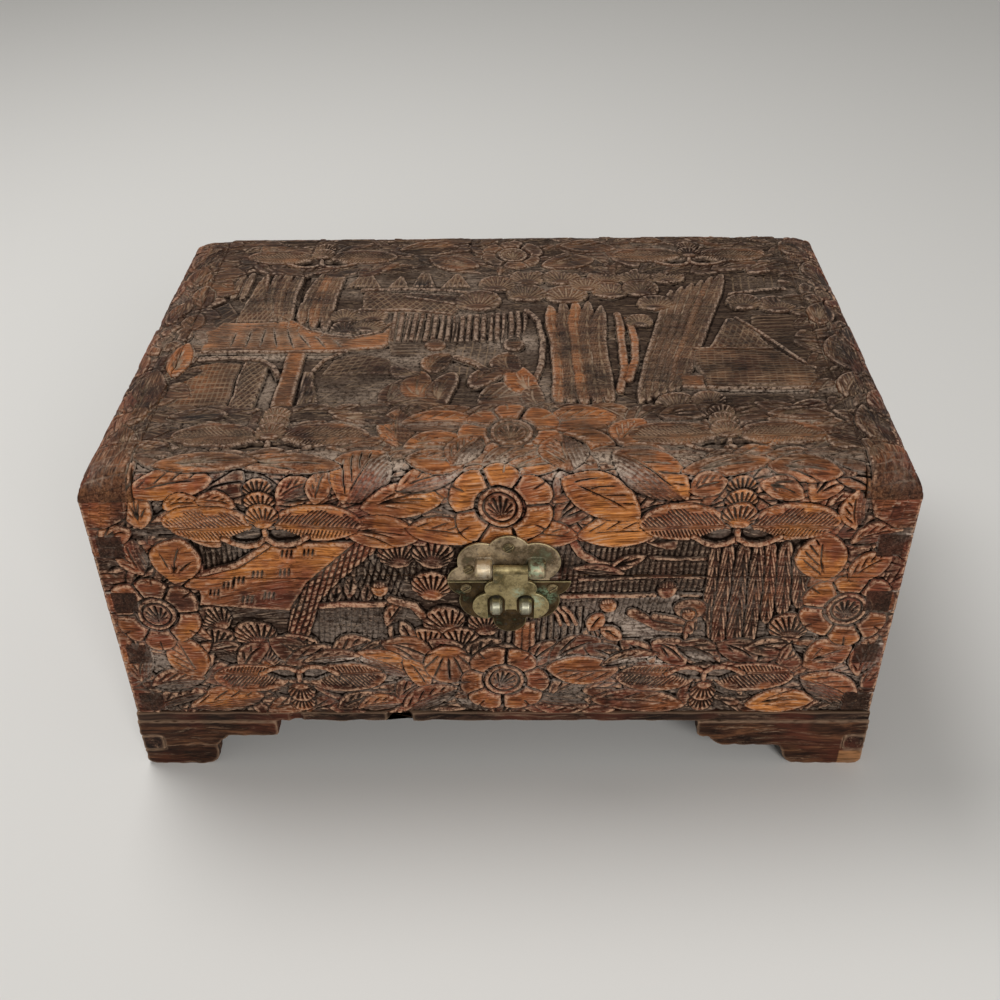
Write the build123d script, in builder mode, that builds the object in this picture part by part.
from build123d import *
from math import cos, radians, sin, tan
import os

os.makedirs("parts", exist_ok=True)

# Chest, overall sizes in millimetres
chest_width = 300.0
chest_depth = 203.0
foot_height = 25.6
bottom_thickness = 4.6
body_height = 71.8
seam_gap = 0.3
rail_height = 35.6
top_thickness = 13.3
wall_thickness = 13.0
edge_round = 13.0
fit_gap = 0.05

# Tenons of the end boards, one row of them from the bottom of the body to the top of the lid
tenon_start = 1.0
tenon_height = 10.0
tenon_pitch = 27.0

# Lid top: a panel between two end cleats
cleat_width = 20.5
crack_width = 0.6
tongue_length = 6.0
tongue_thickness = 4.4
groove_slack = 0.4

# Carving: the ground is cut back from the faces, and the main forms are left standing
relief_depth = 2.0
relief_post = 15.0
relief_edge = 1.5
back_carving_rise = 24.0
back_carving_inset = 8.0
cleat_border = 2.5
lock_seat_radius = 25.5
flower_radius = 17.0
small_flower_radius = 12.5
wing_span = 31.0
wing_width = 13.0
moth_body = 5.0
shrub_radius = 7.5
petal_notch = 0.8

# Bracket feet
foot_thickness = 9.0
wing_length = 70.0
toe_width = 31.0
toe_slope = 4.0
toe_round = 6.0
shelf_height = 11.2
shelf_round = 3.0
shelf_end = 9.0
nose_rise = 5.6
nose_run = 4.2
nose_round = 2.6
corner_round = 3.0
finger_count = 3
split_length = 21.5
split_height = 16.9
split_end = 12.5

# Split lock plate
lock_offset = 3.8
plate_thickness = 1.0
plate_gap = 0.6
plate_core = 15.0
top_lobe_radius = 8.2
top_lobe_rise = 13.0
upper_lobe_radius = 9.0
upper_lobe_reach = 10.0
upper_lobe_rise = 8.9
ear_radius = 7.3
ear_reach = 15.6
lower_lobe_radius = 9.0
lower_lobe_reach = 9.8
lower_lobe_drop = 9.6
bottom_lobe_radius = 6.3
bottom_lobe_drop = 19.0

# Hasp, its lugs and its pin
hasp_offset = 0.5
hasp_axis_rise = 7.85
hasp_axis_stand = 2.8
hasp_pin_radius = 0.8
barrel_radius = 1.75
barrel_length = 12.8
barrel_side_gap = 0.15
lug_width = 6.4
lug_radius = 3.3
lug_chamfer = 0.8
hasp_thickness = 1.3
hasp_back_gap = 0.4
shoulder_radius = 3.8
shoulder_reach = 5.9
shoulder_drop = 2.55
hasp_lobe_radius = 6.3
hasp_lobe_reach = 8.0
hasp_lobe_drop = 10.95
hasp_tongue_width = 9.0
hasp_tongue_drop = 12.6
hasp_tongue_round = 2.5
notch_radius = 3.2
notch_top_gap = 1.0

# Staples that stand through the hasp
staple_spread = 5.45
staple_drop = 9.55
staple_width = 4.6
staple_radius = 3.1
staple_stand = 3.3
staple_chamfer = 1.0
eye_radius = 1.2
staple_tail_radius = 1.3
staple_tail_length = 9.0

# Screws of the lock
lock_screw_head_radius = 2.1
lock_screw_head_height = 0.9
lock_screw_chamfer = 0.5
lock_screw_radius = 1.2
lock_screw_length = 8.0
lock_screw_slot_width = 0.6
lock_screw_slot_depth = 0.45
lock_screw_slot_turn = 35.0
top_screw_rise = 15.85
ear_screw_reach = 14.8
ear_screw_rise = 5.6
body_screw_reach = 16.0
body_screw_drop = 3.35

# Butt hinges
hinge_spread = 85.0
hinge_length = 28.0
leaf_width = 10.0
leaf_thickness = 1.2
knuckle_count = 3
knuckle_radius = 2.4
knuckle_stand = 0.3
knuckle_gap = 0.2
hinge_pin_radius = 1.0
hinge_pin_head_radius = 1.7
hinge_pin_head_height = 0.8
hinge_screw_spread = 8.5
hinge_screw_inset = 5.4
hinge_screw_radius = 1.0
hinge_screw_head_radius = 1.9
hinge_screw_sink_angle = 90.0
hinge_screw_length = 8.0
hinge_screw_slot_width = 0.5
hinge_screw_slot_depth = 0.4

# Levels, from the floor up
body_bottom = foot_height + bottom_thickness
body_top = body_bottom + body_height
lid_bottom = body_top + seam_gap
rail_top = lid_bottom + rail_height
seam_level = (body_top + lid_bottom) / 2

# The origin is under the middle of the whole box, lock and hinge knuckles included
hinge_axis_stand = knuckle_radius + knuckle_stand
back_reach = hinge_axis_stand + max(knuckle_radius, hinge_pin_head_radius)
lug_front = plate_thickness + hasp_axis_stand + lug_radius
staple_front = plate_thickness + staple_stand + staple_radius
front_reach = max(lug_front, staple_front)
chest_y = (front_reach - back_reach) / 2
front_y = chest_y - chest_depth / 2
back_y = chest_y + chest_depth / 2
hinge_axis_y = back_y + hinge_axis_stand

front_plane = Plane(origin=(0, front_y, 0), x_dir=(1, 0, 0), z_dir=(0, -1, 0))
back_plane = Plane(origin=(0, back_y, 0), x_dir=(-1, 0, 0), z_dir=(0, 1, 0))
right_plane = Plane(origin=(chest_width / 2, chest_y, 0), x_dir=(0, 1, 0), z_dir=(1, 0, 0))
left_plane = Plane(origin=(-chest_width / 2, chest_y, 0), x_dir=(0, -1, 0), z_dir=(-1, 0, 0))
lock_plane = Plane(origin=(lock_offset, front_y, seam_level), x_dir=(1, 0, 0), z_dir=(0, -1, 0))


def plane_facing_right(x, y, z):
    """Plane at a point that faces +X, with its own X towards the back and its own Y up."""
    return Plane(origin=(x, y, z), x_dir=(0, 1, 0), z_dir=(1, 0, 0))


def finish(piece, name):
    """Labels a finished piece and writes it under its own name."""
    piece.part.label = name
    export_step(piece.part, f"parts/{name}.step")


def tenons_between(low, high):
    """Bottom edges of the tenons that lie wholly between two levels."""
    bottoms = []
    bottom = body_bottom + tenon_start
    while bottom + tenon_height < rail_top:
        if bottom >= low and bottom + tenon_height <= high:
            bottoms.append(bottom)
        bottom += tenon_pitch
    return bottoms


def long_board_face(low, high):
    """Outline of a front or back board, notched at both ends for the tenons."""
    notch_x = (chest_width - wall_thickness) / 2
    with BuildSketch() as face:
        with Locations((0, (low + high) / 2)):
            Rectangle(chest_width, high - low)
        for bottom in tenons_between(low, high):
            with Locations((-notch_x, bottom + tenon_height / 2), (notch_x, bottom + tenon_height / 2)):
                Rectangle(wall_thickness, tenon_height, mode=Mode.SUBTRACT)
    return face.sketch


def end_board_face(low, high):
    """Outline of an end board between the long boards, with its tenons."""
    with BuildSketch() as face:
        with Locations((0, (low + high) / 2)):
            Rectangle(chest_depth - 2 * wall_thickness, high - low)
        for bottom in tenons_between(low, high):
            with Locations((0, bottom + tenon_height / 2)):
                Rectangle(chest_depth, tenon_height - 2 * fit_gap)
    return face.sketch


def leaf_form(x, y, length, width, turn):
    """Leaf as a long six-sided boss."""
    tip, half = length / 2, width / 2
    side = tip / 3
    outline = [(-tip, 0), (-side, half), (side, half), (tip, 0), (side, -half), (-side, -half)]
    return Location((x, y, 0), (0, 0, turn)) * Polygon(*outline, align=None)


def flower_form(x, y, radius, petals=6):
    """Flower as a boss with blunt petals."""
    outline = []
    for corner in range(3 * petals):
        reach = radius * (petal_notch if corner % 3 == 0 else 1)
        angle = radians(corner * 360 / (3 * petals))
        outline.append((x + reach * cos(angle), y + reach * sin(angle)))
    return Polygon(*outline, align=None)


def moth_form(x, y, rise=0.0):
    """Moth as two wings and a body."""
    wing_centre = moth_body / 2 + wing_span / 2
    left_wing = leaf_form(x - wing_centre, y + rise, wing_span, wing_width, 0)
    right_wing = leaf_form(x + wing_centre, y + rise, wing_span, wing_width, 0)
    return left_wing + right_wing + leaf_form(x, y, 4 * moth_body, 2 * moth_body, 90)


def shrub_form(x, y):
    """Shrub as a six-sided boss."""
    return Location((x, y, 0)) * RegularPolygon(shrub_radius, 6)


def outline_forms(outlines):
    """Bosses from outlines."""
    return [Polygon(*outline, align=None) for outline in outlines]


def ground_between(low_corner, high_corner, forms):
    """Carved ground of one face: a rectangle less the forms that are left standing."""
    width, height = high_corner[0] - low_corner[0], high_corner[1] - low_corner[1]
    middle = ((low_corner[0] + high_corner[0]) / 2, (low_corner[1] + high_corner[1]) / 2)
    with BuildSketch() as ground:
        with Locations(middle):
            Rectangle(width, height)
        for form in forms:
            add(form, mode=Mode.SUBTRACT)
    return ground.sketch


# Where each screw, staple and leaf sits, in the plane that it is seen in
lid_screw_points = [(0, top_screw_rise), (-ear_screw_reach, ear_screw_rise)]
body_screw_points = [(-body_screw_reach, -body_screw_drop), (body_screw_reach, -body_screw_drop)]
staple_points = [(hasp_offset - staple_spread, -staple_drop), (hasp_offset + staple_spread, -staple_drop)]
hinge_centres = [-hinge_spread, hinge_spread]
hinge_screw_points = []
for centre in hinge_centres:
    hinge_screw_points.append((centre - hinge_screw_spread, back_y - hinge_screw_inset))
    hinge_screw_points.append((centre + hinge_screw_spread, back_y - hinge_screw_inset))
mortise_length = hinge_length + 2 * fit_gap
mortise_width = leaf_width + fit_gap
mortise_depth = leaf_thickness + fit_gap
mortise_y = back_y - mortise_width / 2

body_long_face = long_board_face(body_bottom, body_top)
body_end_face = end_board_face(body_bottom, body_top)
lid_long_face = long_board_face(lid_bottom, rail_top)
lid_end_face = end_board_face(lid_bottom, rail_top)

# Front carving: x from the middle, levels from the seam, which the carving runs across
carving_plane = Plane(origin=(0, front_y, seam_level), x_dir=(1, 0, 0), z_dir=(0, -1, 0))
body_border = body_bottom + flower_radius + relief_edge - seam_level
rail_border = rail_top - flower_radius + 5.0 - seam_level
side_x = chest_width / 2 - flower_radius - 2.0
moth_x = side_x - 50.0
side_flower_drop = 17.0

# Leaves that stand on both sides alike: x, level, length, width, turn on the right
front_leaves = [
    (side_x - 13, 10, 22, 16, 98),
    (side_x - 18, body_border - 10, 28, 12, -8),
    (side_x - 6, body_border + 12, 21, 14, -50),
    (34, body_border + 6, 26, 12, 12),
    (28, body_border - 10, 24, 10, -25),
    (31, rail_border - 4, 26, 12, 0),
    (35, rail_border + 8, 26, 11, -20),
]

# The great roof and the coping of the garden wall at the left, a willow at the right, and shrubs
roof_left = [(-79, -14), (-119, -13), (-119, 1), (-97, 7), (-84, 17)]
roof_right = [(-42, 17), (-62, -1), (-75, -33), (-84, -33)]
coping_outline = [(-72, -16), (-43, -15), (-43, -12), (-71, -13)]
willow_low = [(82, -41), (93, -41), (100, -34), (106, -20), (116, -14)]
willow_high = [(112, 10), (107, 17), (79, 17)]
left_shrubs = [(-104, -29), (-90, -34), (-25, -4), (-24, -26), (-40, -36)]
right_shrubs = [(60, -7), (48, -28), (70, -26), (110, -30)]

front_forms = [
    Location((lock_offset, 0, 0)) * RegularPolygon(lock_seat_radius, 8),
    flower_form(0, body_border, flower_radius),
    flower_form(0, rail_border + 7, flower_radius),
    flower_form(-side_x, -side_flower_drop, flower_radius),
    flower_form(side_x, -side_flower_drop, flower_radius),
]
front_forms += outline_forms([roof_left + roof_right, coping_outline, willow_low + willow_high])
for side in (-1, 1):
    front_forms.append(moth_form(side * moth_x, body_border, -3))
    front_forms.append(moth_form(side * moth_x, rail_border, 2))
    for x, level, length, width, turn in front_leaves:
        front_forms.append(leaf_form(side * x, level, length, width, side * turn))
for x, level in left_shrubs + right_shrubs:
    front_forms.append(shrub_form(x, level))
front_limit = chest_width / 2 - relief_post
body_low = body_bottom + relief_edge - seam_level
body_high = body_top - seam_level
rail_low = lid_bottom - seam_level
rail_high = rail_top - relief_edge - seam_level
body_ground = ground_between((-front_limit, body_low), (front_limit, body_high), front_forms)
rail_ground = ground_between((-front_limit, rail_low), (front_limit, rail_high), front_forms)

# Back carving: a house with its roof between two rows of shrubs and two willows
back_carving_plane = Plane(origin=(0, back_y, seam_level), x_dir=(-1, 0, 0), z_dir=(0, 1, 0))
back_house = [(-24, -43), (24, -43), (24, -20), (-24, -20)]
back_roof = [(-37, -20), (37, -20), (22, -9), (16, 0), (-16, 0), (-22, -9)]
back_outlines = [back_house, back_roof]
for side in (-1, 1):
    back_outlines.append([(side * 25, -48), (side * 64, -48), (side * 64, -36), (side * 25, -36)])
    back_outlines.append([(side * 97, -44), (side * 125, -44), (side * 124, 0), (side * 96, 0)])
back_forms = outline_forms(back_outlines)
back_limit = front_limit - back_carving_inset
back_low = body_bottom + back_carving_rise - seam_level
back_high = body_high - back_carving_inset
back_ground = ground_between((-back_limit, back_low), (back_limit, back_high), back_forms)

# Body: front board, carved, with the blind holes of the lower lock plate
with BuildPart() as front_board:
    with BuildSketch(front_plane):
        add(body_long_face)
    extrude(amount=-wall_thickness)
    with BuildSketch(carving_plane):
        add(body_ground)
    extrude(amount=-relief_depth, mode=Mode.SUBTRACT)
    with BuildSketch(lock_plane):
        with Locations(*body_screw_points):
            Circle(lock_screw_radius + fit_gap)
    extrude(amount=-lock_screw_length, mode=Mode.SUBTRACT)
    with BuildSketch(lock_plane):
        with Locations(*staple_points):
            Circle(staple_tail_radius + fit_gap)
    extrude(amount=-staple_tail_length, mode=Mode.SUBTRACT)
finish(front_board, "front_board")

# Body: back board, with the mortises and screw holes of the hinges in its top edge
with BuildPart() as back_board:
    with BuildSketch(back_plane):
        add(body_long_face)
    extrude(amount=-wall_thickness)
    with BuildSketch(back_carving_plane):
        add(back_ground)
    extrude(amount=-relief_depth, mode=Mode.SUBTRACT)
    with BuildSketch(Plane.XY.offset(body_top)):
        for centre in hinge_centres:
            with Locations((centre, mortise_y)):
                Rectangle(mortise_length, mortise_width)
    extrude(amount=-mortise_depth, mode=Mode.SUBTRACT)
    with BuildSketch(Plane.XY.offset(body_top)):
        with Locations(*hinge_screw_points):
            Circle(hinge_screw_radius + fit_gap)
    extrude(amount=-hinge_screw_length - fit_gap, mode=Mode.SUBTRACT)
finish(back_board, "back_board")

# Body: the two end boards, whose tenons show as end grain on the front and back
for side, plane in (("left", left_plane), ("right", right_plane)):
    with BuildPart() as end_board:
        with BuildSketch(plane):
            add(body_end_face)
        extrude(amount=-wall_thickness)
    finish(end_board, f"{side}_board")

# Body: bottom board, flush with the walls above it
with BuildPart() as bottom_board:
    with BuildSketch(Plane.XY.offset(foot_height)):
        with Locations((0, chest_y)):
            Rectangle(chest_width, chest_depth)
    extrude(amount=bottom_thickness)
finish(bottom_board, "bottom_board")


def bracket_face(has_ends, broken):
    """Outline of one wing of a bracket foot, from the chest's corner along local X.

    A wing with ends has the top and bottom fingers of the corner joint, and one without has the
    finger between them. The broken wing has lost its tip and the strip along its lower edge.
    """
    shelf_stop = wing_length - shelf_end
    nose_level = shelf_height + nose_rise
    broken_end = wing_length - split_end
    whole_outline = [
        (toe_width + toe_slope, shelf_height),
        (shelf_stop, shelf_height),
        (shelf_stop + nose_run, nose_level),
        (wing_length, nose_level),
        (wing_length, foot_height),
    ]
    broken_outline = [
        (toe_width, shelf_height),
        (broken_end - split_length, split_height),
        (broken_end, split_height),
        (broken_end, foot_height),
    ]
    outline = broken_outline if broken else whole_outline
    finger_height = foot_height / finger_count
    with BuildSketch() as face:
        with BuildLine():
            Polyline((0, foot_height), (0, 0), (toe_width, 0), *outline, close=True)
        make_face()
        foot_corner = face.vertices().group_by(Axis.Y)[0].sort_by(Axis.X)[0]
        fillet(foot_corner, radius=corner_round)
        toe_corner = face.vertices().group_by(Axis.Y)[0].sort_by(Axis.X)[-1]
        fillet(toe_corner, radius=toe_round)
        if not broken:
            shelf_corners = face.vertices().filter_by(lambda v: abs(v.Y - shelf_height) < fit_gap)
            fillet(shelf_corners, radius=shelf_round)
            nose_corners = face.vertices().filter_by(lambda v: abs(v.Y - nose_level) < fit_gap)
            fillet(nose_corners, radius=nose_round)
        for finger in range(finger_count):
            own_finger = (finger % 2 == 0) == has_ends
            if not own_finger:
                with Locations((foot_thickness / 2, (finger + 0.5) * finger_height)):
                    Rectangle(foot_thickness, finger_height + 2 * fit_gap, mode=Mode.SUBTRACT)
    return face.sketch


# Bracket feet: two wings at each corner, finger jointed to each other, glued under the bottom board
face_wing_outline = bracket_face(True, False)
broken_wing_outline = bracket_face(True, True)
end_wing_outline = bracket_face(False, False)
up = Vector(0, 0, 1)
for x_side, x_name in ((-1, "left"), (1, "right")):
    for y_side, y_name in ((-1, "front"), (1, "back")):
        corner = (x_side * chest_width / 2, chest_y + y_side * chest_depth / 2, 0)
        inward_x = Vector(-x_side, 0, 0)
        inward_y = Vector(0, -y_side, 0)
        is_broken = x_side < 0 and y_side < 0
        with BuildPart() as face_wing:
            with BuildSketch(Plane(origin=corner, x_dir=inward_x, z_dir=inward_x.cross(up))):
                add(broken_wing_outline if is_broken else face_wing_outline)
            extrude(amount=foot_thickness, dir=inward_y)
        finish(face_wing, f"{y_name}_{x_name}_foot_{y_name}_wing")
        with BuildPart() as end_wing:
            with BuildSketch(Plane(origin=corner, x_dir=inward_y, z_dir=inward_y.cross(up))):
                add(end_wing_outline)
            extrude(amount=foot_thickness, dir=inward_x)
        finish(end_wing, f"{y_name}_{x_name}_foot_end_wing")

# Lid: front rail, carved, with the blind holes of the upper lock plate
with BuildPart() as lid_front_rail:
    with BuildSketch(front_plane):
        add(lid_long_face)
    extrude(amount=-wall_thickness)
    with BuildSketch(carving_plane):
        add(rail_ground)
    extrude(amount=-relief_depth, mode=Mode.SUBTRACT)
    with BuildSketch(lock_plane):
        with Locations(*lid_screw_points):
            Circle(lock_screw_radius + fit_gap)
    extrude(amount=-lock_screw_length, mode=Mode.SUBTRACT)
finish(lid_front_rail, "lid_front_rail")

# Lid: back rail, with the mortises and screw holes of the hinges in its lower edge
with BuildPart() as lid_back_rail:
    with BuildSketch(back_plane):
        add(lid_long_face)
    extrude(amount=-wall_thickness)
    with BuildSketch(Plane.XY.offset(lid_bottom)):
        for centre in hinge_centres:
            with Locations((centre, mortise_y)):
                Rectangle(mortise_length, mortise_width)
    extrude(amount=mortise_depth, mode=Mode.SUBTRACT)
    with BuildSketch(Plane.XY.offset(lid_bottom)):
        with Locations(*hinge_screw_points):
            Circle(hinge_screw_radius + fit_gap)
    extrude(amount=hinge_screw_length + fit_gap, mode=Mode.SUBTRACT)
finish(lid_back_rail, "lid_back_rail")

# Lid: the two end rails
for side, plane in (("left", left_plane), ("right", right_plane)):
    with BuildPart() as end_rail:
        with BuildSketch(plane):
            add(lid_end_face)
        extrude(amount=-wall_thickness)
    finish(end_rail, f"lid_{side}_rail")

# Top carving: x and y from the middle of the chest
panel_length = chest_width - 2 * cleat_width - 2 * crack_width
top_limit_x = panel_length / 2 - cleat_border
top_limit_y = chest_depth / 2 - edge_round - relief_edge
front_border = flower_radius - 6.0 - top_limit_y
back_border = top_limit_y - small_flower_radius

# Leaves that stand on both sides alike, the pavilion with its post and wall, the bridge and the hut,
# the trees behind the pavilion, the pointed trees, an upright willow and a leaning one
top_leaves = [(34, front_border + 2, 24, 14, 30), (32, back_border - 3, 24, 12, 15)]
pavilion_eave = [(-105, 56), (-111, 38), (-113, 11), (-124, -3), (-124, -14), (-50, -16)]
pavilion_sweep = [(-44, -7), (-66, 2), (-87, 11), (-96, 20), (-102, 34)]
pavilion_trees = [(-97, 27), (-86, 13), (-74, 8), (-70, 56), (-99, 56)]
pavilion_wall = [(-124, -56), (-102, -58), (-102, -25), (-112, -23), (-124, -30)]
pavilion_post = [(-86, -60), (-77, -60), (-77, -15), (-86, -15)]
bridge_outline = [(-58, 20), (-18, 20), (-18, 38), (-58, 38)]
hut_roof = [(78, -42), (125, -42), (112, -18), (100, 6), (88, -12)]
pointed_trees = [(-69, 41), (-14, 39), (-19, 52), (-30, 44), (-35, 59), (-41, 44), (-60, 57)]
upright_willow = [(18, -58), (42, -58), (43, 20), (36, 26), (22, 26), (17, 10)]
leaning_willow = [(51, -58), (63, -60), (97, 50), (80, 48), (66, 10)]
top_shrubs = [(70, -57), (94, -56), (8, 33), (28, 34), (48, 38), (66, 40), (88, 36), (108, 34), (-8, 34)]

top_forms = [
    flower_form(4, front_border, flower_radius),
    flower_form(4, back_border, small_flower_radius),
]
for side in (-1, 1):
    top_forms.append(moth_form(side * moth_x, front_border, 2))
    top_forms.append(moth_form(side * moth_x, back_border, 2))
    for x, y, length, width, turn in top_leaves:
        top_forms.append(leaf_form(side * x, y, length, width, side * turn))
top_forms += outline_forms([pavilion_eave + pavilion_sweep, pavilion_trees, pavilion_wall, pavilion_post])
top_forms += outline_forms([bridge_outline, hut_roof, pointed_trees, upright_willow, leaning_willow])
for x, y in top_shrubs:
    top_forms.append(shrub_form(x, y))

# Two robed figures
top_forms.append(leaf_form(-30, -39, 34, 17, 80))
top_forms.append(leaf_form(4, -38, 40, 19, 90))
top_ground = ground_between((-top_limit_x, -top_limit_y), (top_limit_x, top_limit_y), top_forms)

# Lid: top panel, carved, rounded along its front and back edges, with a tongue at each end
tongue_level = rail_top + (top_thickness - edge_round) + tongue_thickness / 2
tongue_depth = chest_depth - 2 * edge_round
with BuildPart() as lid_top_panel:
    with BuildSketch(Plane.XY.offset(rail_top)):
        with Locations((0, chest_y)):
            Rectangle(panel_length, chest_depth)
    extrude(amount=top_thickness)
    fillet(lid_top_panel.faces().sort_by(Axis.Z)[-1].edges().filter_by(Axis.X), radius=edge_round)
    with BuildSketch(Plane(origin=(0, chest_y, rail_top + top_thickness))):
        add(top_ground)
    extrude(amount=-relief_depth, mode=Mode.SUBTRACT)
    with BuildSketch(Plane.XY.offset(tongue_level - tongue_thickness / 2)):
        with Locations((0, chest_y)):
            Rectangle(panel_length + 2 * tongue_length, tongue_depth)
    extrude(amount=tongue_thickness)
finish(lid_top_panel, "lid_top_panel")

# Lid: end cleats, rounded on three sides, grooved for the panel's tongues
groove_depth = tongue_length - crack_width + groove_slack
for side, direction in (("left", -1), ("right", 1)):
    cleat_x = direction * (chest_width - cleat_width) / 2
    groove_x = direction * (chest_width / 2 - cleat_width + groove_depth / 2)
    with BuildPart() as cleat:
        with BuildSketch(Plane.XY.offset(rail_top)):
            with Locations((cleat_x, chest_y)):
                Rectangle(cleat_width, chest_depth)
        extrude(amount=top_thickness)
        top_edges = cleat.faces().sort_by(Axis.Z)[-1].edges()
        inner_edge = top_edges.filter_by(Axis.Y).sort_by(Axis.X)[0 if direction > 0 else -1]
        fillet([edge for edge in top_edges if edge != inner_edge], radius=edge_round)
        with BuildSketch(Plane.XY.offset(tongue_level - tongue_thickness / 2 - fit_gap)):
            with Locations((groove_x, chest_y)):
                Rectangle(groove_depth, tongue_depth + 2 * fit_gap)
        extrude(amount=tongue_thickness + 2 * fit_gap, mode=Mode.SUBTRACT)
    finish(cleat, f"lid_{side}_cleat")

# Upper lock plate, on the lid: cusped lobes, a pair of lugs for the hasp, and its right ear lost
lug_reach = barrel_length / 2 + barrel_side_gap + lug_width / 2
lug_points = [hasp_offset - lug_reach, hasp_offset + lug_reach]
hasp_axis_level = seam_level + hasp_axis_rise
hasp_axis_y = front_y - plate_thickness - hasp_axis_stand
plate_limit = 2 * (ear_reach + ear_radius)
with BuildPart() as lock_lid_plate:
    with BuildSketch(lock_plane):
        Circle(plate_core)
        with Locations((0, top_lobe_rise)):
            Circle(top_lobe_radius)
        with Locations((-upper_lobe_reach, upper_lobe_rise), (upper_lobe_reach, upper_lobe_rise)):
            Circle(upper_lobe_radius)
        with Locations((-ear_reach, 0)):
            Circle(ear_radius)
        with Locations((0, (plate_gap - plate_limit) / 2)):
            Rectangle(plate_limit, plate_limit, mode=Mode.SUBTRACT)
        with Locations(*lid_screw_points):
            Circle(lock_screw_radius + fit_gap, mode=Mode.SUBTRACT)
    extrude(amount=plate_thickness)
    for lug_x in lug_points:
        lug_start = lock_offset + lug_x - lug_width / 2
        with BuildSketch(plane_facing_right(lug_start, hasp_axis_y, hasp_axis_level)):
            Circle(lug_radius)
            with Locations((hasp_axis_stand / 2, 0)):
                Rectangle(hasp_axis_stand, 2 * lug_radius)
        extrude(amount=lug_width)
    lug_ends = lock_lid_plate.faces().filter_by(Axis.X).filter_by(lambda f: f.area > lug_radius**2)
    lug_edges = lug_ends.edges().filter_by(lambda e: e.center().Y < front_y - plate_thickness - fit_gap)
    chamfer(lug_edges, length=lug_chamfer)
    pin_hole_length = 2 * (lug_reach + lug_width)
    pin_hole_start = lock_offset + hasp_offset - pin_hole_length / 2
    with BuildSketch(plane_facing_right(pin_hole_start, hasp_axis_y, hasp_axis_level)):
        Circle(hasp_pin_radius + fit_gap)
    extrude(amount=pin_hole_length, mode=Mode.SUBTRACT)
finish(lock_lid_plate, "lock_lid_plate")

# Lower lock plate, on the body
with BuildPart() as lock_body_plate:
    with BuildSketch(lock_plane):
        Circle(plate_core)
        with Locations((-lower_lobe_reach, -lower_lobe_drop), (lower_lobe_reach, -lower_lobe_drop)):
            Circle(lower_lobe_radius)
        with Locations((-ear_reach, 0), (ear_reach, 0)):
            Circle(ear_radius)
        with Locations((0, -bottom_lobe_drop)):
            Circle(bottom_lobe_radius)
        with Locations((0, (plate_limit - plate_gap) / 2)):
            Rectangle(plate_limit, plate_limit, mode=Mode.SUBTRACT)
        with Locations(*body_screw_points):
            Circle(lock_screw_radius + fit_gap, mode=Mode.SUBTRACT)
        with Locations(*staple_points):
            Circle(staple_tail_radius + fit_gap, mode=Mode.SUBTRACT)
    extrude(amount=plate_thickness)
finish(lock_body_plate, "lock_body_plate")

# Hasp: rolled barrel on the pin, shoulders, two lobes and a tongue between open arched notches
hasp_front = plate_thickness + hasp_back_gap + hasp_thickness
hasp_plane = Plane(
    origin=(lock_offset + hasp_offset, front_y - hasp_front, seam_level), x_dir=(1, 0, 0), z_dir=(0, -1, 0)
)
notch_top_drop = staple_drop - staple_radius
notch_arch_drop = notch_top_drop + notch_radius - notch_top_gap
with BuildPart() as hasp:
    with BuildSketch(hasp_plane):
        with Locations((0, (hasp_axis_rise - hasp_lobe_drop) / 2)):
            Rectangle(barrel_length, hasp_axis_rise + hasp_lobe_drop)
        with Locations((-shoulder_reach, -shoulder_drop), (shoulder_reach, -shoulder_drop)):
            Circle(shoulder_radius)
        with Locations((-hasp_lobe_reach, -hasp_lobe_drop), (hasp_lobe_reach, -hasp_lobe_drop)):
            Circle(hasp_lobe_radius)
        with Locations((0, -hasp_tongue_drop / 2)):
            RectangleRounded(hasp_tongue_width, hasp_tongue_drop, hasp_tongue_round)
        for notch_x in (-staple_spread, staple_spread):
            with Locations((notch_x, -notch_arch_drop)):
                Circle(notch_radius, mode=Mode.SUBTRACT)
            with Locations((notch_x, -notch_arch_drop - hasp_lobe_radius)):
                Rectangle(2 * notch_radius, 2 * hasp_lobe_radius, mode=Mode.SUBTRACT)
    extrude(amount=-hasp_thickness)
    barrel_start = lock_offset + hasp_offset - barrel_length / 2
    barrel_plane = plane_facing_right(barrel_start, hasp_axis_y, hasp_axis_level)
    with BuildSketch(barrel_plane):
        Circle(barrel_radius)
    extrude(amount=barrel_length)
    with BuildSketch(barrel_plane):
        Circle(hasp_pin_radius + fit_gap)
    extrude(amount=barrel_length, mode=Mode.SUBTRACT)
finish(hasp, "hasp")

# Pin that the hasp swings on, held in the two lugs
hasp_pin_length = 2 * (lug_reach + lug_width / 2)
hasp_pin_start = lock_offset + hasp_offset - hasp_pin_length / 2
with BuildPart() as hasp_pin:
    with BuildSketch(plane_facing_right(hasp_pin_start, hasp_axis_y, hasp_axis_level)):
        Circle(hasp_pin_radius)
    extrude(amount=hasp_pin_length)
finish(hasp_pin, "hasp_pin")

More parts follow.
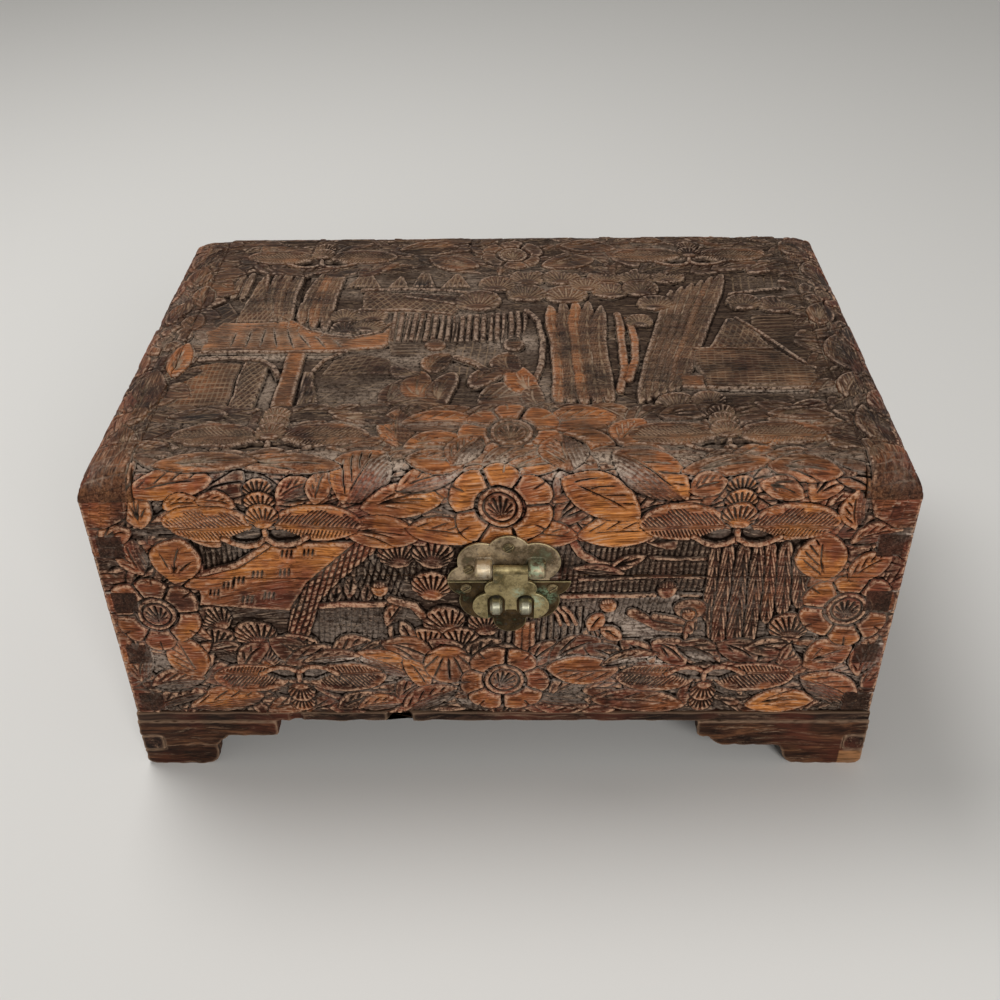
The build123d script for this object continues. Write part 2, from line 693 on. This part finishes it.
# Staples: two round-nosed studs with an eye for the padlock's bar and a tail into the front board
staple_level = seam_level - staple_drop
nose_y = front_y - plate_thickness - staple_stand
with BuildPart() as hasp_staples:
    for staple_x, staple_rise in staple_points:
        staple_start = lock_offset + staple_x - staple_width / 2
        with BuildSketch(plane_facing_right(staple_start, nose_y, staple_level)):
            Circle(staple_radius)
            with Locations((staple_stand / 2, 0)):
                Rectangle(staple_stand, 2 * staple_radius)
        extrude(amount=staple_width)
    staple_edges = hasp_staples.faces().filter_by(Axis.X).edges()
    chamfer(
        staple_edges.filter_by(lambda e: e.center().Y < front_y - plate_thickness - fit_gap),
        length=staple_chamfer,
    )
    with BuildSketch(lock_plane.offset(plate_thickness)):
        with Locations(*staple_points):
            Circle(staple_tail_radius)
    extrude(amount=fit_gap - plate_thickness - staple_tail_length)
    eye_start = lock_offset + hasp_offset - staple_spread - staple_width
    eye_length = 2 * (staple_spread + staple_width)
    with BuildSketch(plane_facing_right(eye_start, nose_y, staple_level)):
        Circle(eye_radius)
    extrude(amount=eye_length, mode=Mode.SUBTRACT)
finish(hasp_staples, "hasp_staples")


def lock_screws(points, name):
    """Slotted screws with bevelled heads that hold one half of the lock plate, as one group."""
    head_plane = lock_plane.offset(plate_thickness)
    with BuildPart() as screws:
        with BuildSketch(head_plane):
            with Locations(*points):
                Circle(lock_screw_head_radius)
        extrude(amount=lock_screw_head_height)
        rims = screws.faces().sort_by(Axis.Y).group_by(Axis.Y)[0].edges()
        chamfer(rims, length=lock_screw_chamfer)
        with BuildSketch(head_plane):
            with Locations(*points):
                Circle(lock_screw_radius)
        extrude(amount=fit_gap - plate_thickness - lock_screw_length)
        with BuildSketch(head_plane.offset(lock_screw_head_height - lock_screw_slot_depth)):
            with Locations(*points):
                Rectangle(2 * lock_screw_head_radius, lock_screw_slot_width, rotation=lock_screw_slot_turn)
        extrude(amount=lock_screw_slot_depth, mode=Mode.SUBTRACT)
    finish(screws, name)


lock_screws(lid_screw_points, "lock_lid_screws")
lock_screws(body_screw_points, "lock_body_screws")


def hinge_leaf(centre, upper, name):
    """One leaf of a butt hinge: the lid's leaf has the middle knuckle, the body's has the outer two."""
    knuckle_length = hinge_length / knuckle_count
    flush = lid_bottom if upper else body_top
    thickness = leaf_thickness if upper else -leaf_thickness
    plate_reach = leaf_width + knuckle_stand / 2
    with BuildPart() as leaf:
        with BuildSketch(Plane.XY.offset(flush)):
            with Locations((centre, back_y - leaf_width + plate_reach / 2)):
                Rectangle(hinge_length, plate_reach)
        extrude(amount=thickness)
        for index in range(knuckle_count):
            if (index % 2 == 1) == upper:
                start = centre - hinge_length / 2 + index * knuckle_length + knuckle_gap / 2
                own_length = knuckle_length - knuckle_gap
                with BuildSketch(Plane.XY.offset(flush)):
                    with Locations((start + own_length / 2, back_y + hinge_axis_stand / 2)):
                        Rectangle(own_length, hinge_axis_stand)
                extrude(amount=thickness)
                with BuildSketch(plane_facing_right(start, hinge_axis_y, seam_level)):
                    Circle(knuckle_radius)
                extrude(amount=own_length)
        with BuildSketch(plane_facing_right(centre - hinge_length / 2, hinge_axis_y, seam_level)):
            Circle(hinge_pin_radius + fit_gap)
        extrude(amount=hinge_length, mode=Mode.SUBTRACT)
        screw_y = back_y - hinge_screw_inset
        facing = Vector(0, 0, -1 if upper else 1)
        screw_facing = Plane(origin=(centre, screw_y, flush), x_dir=(1, 0, 0), z_dir=facing)
        with Locations(screw_facing):
            with Locations((-hinge_screw_spread, 0), (hinge_screw_spread, 0)):
                CounterSinkHole(
                    hinge_screw_radius + fit_gap,
                    hinge_screw_head_radius + fit_gap,
                    depth=leaf_thickness,
                    counter_sink_angle=hinge_screw_sink_angle,
                )
    finish(leaf, name)


# Butt hinges, let into the seam at the back, each with two leaves and a headed pin
for centre, side in zip(hinge_centres, ("left", "right")):
    hinge_leaf(centre, False, f"{side}_hinge_body_leaf")
    hinge_leaf(centre, True, f"{side}_hinge_lid_leaf")
    pin_start = plane_facing_right(centre - hinge_length / 2, hinge_axis_y, seam_level)
    with BuildPart() as hinge_pin:
        with BuildSketch(pin_start):
            Circle(hinge_pin_radius)
        extrude(amount=hinge_length)
        for head_start in (-hinge_pin_head_height, hinge_length):
            with BuildSketch(pin_start.offset(head_start)):
                Circle(hinge_pin_head_radius)
            extrude(amount=hinge_pin_head_height)
    finish(hinge_pin, f"{side}_hinge_pin")


def hinge_screws(upper, name):
    """Countersunk slotted screws of the lid's or the body's leaves, as one group of solids."""
    flush = lid_bottom if upper else body_top
    inward = Vector(0, 0, 1 if upper else -1)
    head_height = (hinge_screw_head_radius - hinge_screw_radius) / tan(radians(hinge_screw_sink_angle / 2))
    seats = [Plane(origin=(x, y, flush), x_dir=(1, 0, 0), z_dir=inward) for x, y in hinge_screw_points]
    with BuildPart() as screws:
        with Locations(*seats):
            Cone(
                hinge_screw_head_radius,
                hinge_screw_radius,
                head_height,
                align=(Align.CENTER, Align.CENTER, Align.MIN),
            )
            Cylinder(
                hinge_screw_radius,
                hinge_screw_length,
                align=(Align.CENTER, Align.CENTER, Align.MIN),
            )
            Box(
                2 * hinge_screw_head_radius,
                hinge_screw_slot_width,
                hinge_screw_slot_depth,
                align=(Align.CENTER, Align.CENTER, Align.MIN),
                mode=Mode.SUBTRACT,
            )
    finish(screws, name)


hinge_screws(False, "hinge_body_screws")
hinge_screws(True, "hinge_lid_screws")
